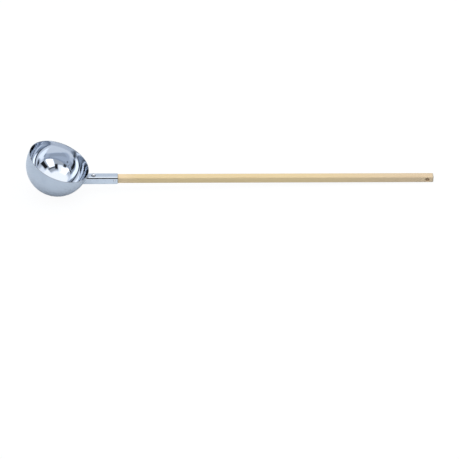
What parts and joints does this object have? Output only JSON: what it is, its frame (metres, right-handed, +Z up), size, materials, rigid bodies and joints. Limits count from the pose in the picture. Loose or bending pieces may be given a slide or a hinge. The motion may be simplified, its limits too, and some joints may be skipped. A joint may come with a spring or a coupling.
{
  "type": "long-handled ladle",
  "caption": "Round steel bowl with a folded sheet socket welded to its side, and a long square wooden handle that slides into the socket and is locked by a screw.",
  "frame": {"origin": "on the table, under the middle of the ladle's whole outline as it lies", "axes": "+X along the handle from bowl to far end, +Z up; the ladle lies on the round of its bowl and the far end of its handle"},
  "size_m": [1.1706, 0.18, 0.1371],
  "materials": {
    "bowl_steel": "stainless, satin outside and bright polished inside",
    "socket_steel": "stainless sheet, fine satin",
    "weld_steel": "brushed weld bead",
    "fastener_steel": "bright plain steel",
    "pale_wood": "smooth bare pale wood, straight fine grain"
  },
  "bodies": {
    "bowl_and_socket": {"bowl": "bowl_steel", "socket": "socket_steel", "socket_weld": "weld_steel", "seam_rivet": "fastener_steel"},
    "handle_bar": {"handle": "pale_wood"},
    "washer": {"screw_washer": "fastener_steel"},
    "screw": {"fixing_screw": "fastener_steel"}
  },
  "joints": [
    {"name": "handle_slide", "type": "slide", "parent": "bowl_and_socket", "child": "handle_bar", "axis": [0.9996, 0, -0.0286], "range_m": [0, 0.125]},
    {"name": "screw_lift", "type": "slide", "parent": "bowl_and_socket", "child": "washer", "axis": [0.0286, 0, 0.9996], "range_m": [-0.0015, 0.015]},
    {"name": "screw_turn", "type": "hinge", "parent": "washer", "child": "screw", "pos_m": [-0.39414, 0, 0.05362], "axis": [0.0286, 0, 0.9996], "range_deg": [-361, 3603]}
  ],
  "couplings": [
    {"joint": "screw_turn", "follows": "screw_lift", "rad_per_m": 4188.8}
  ]
}
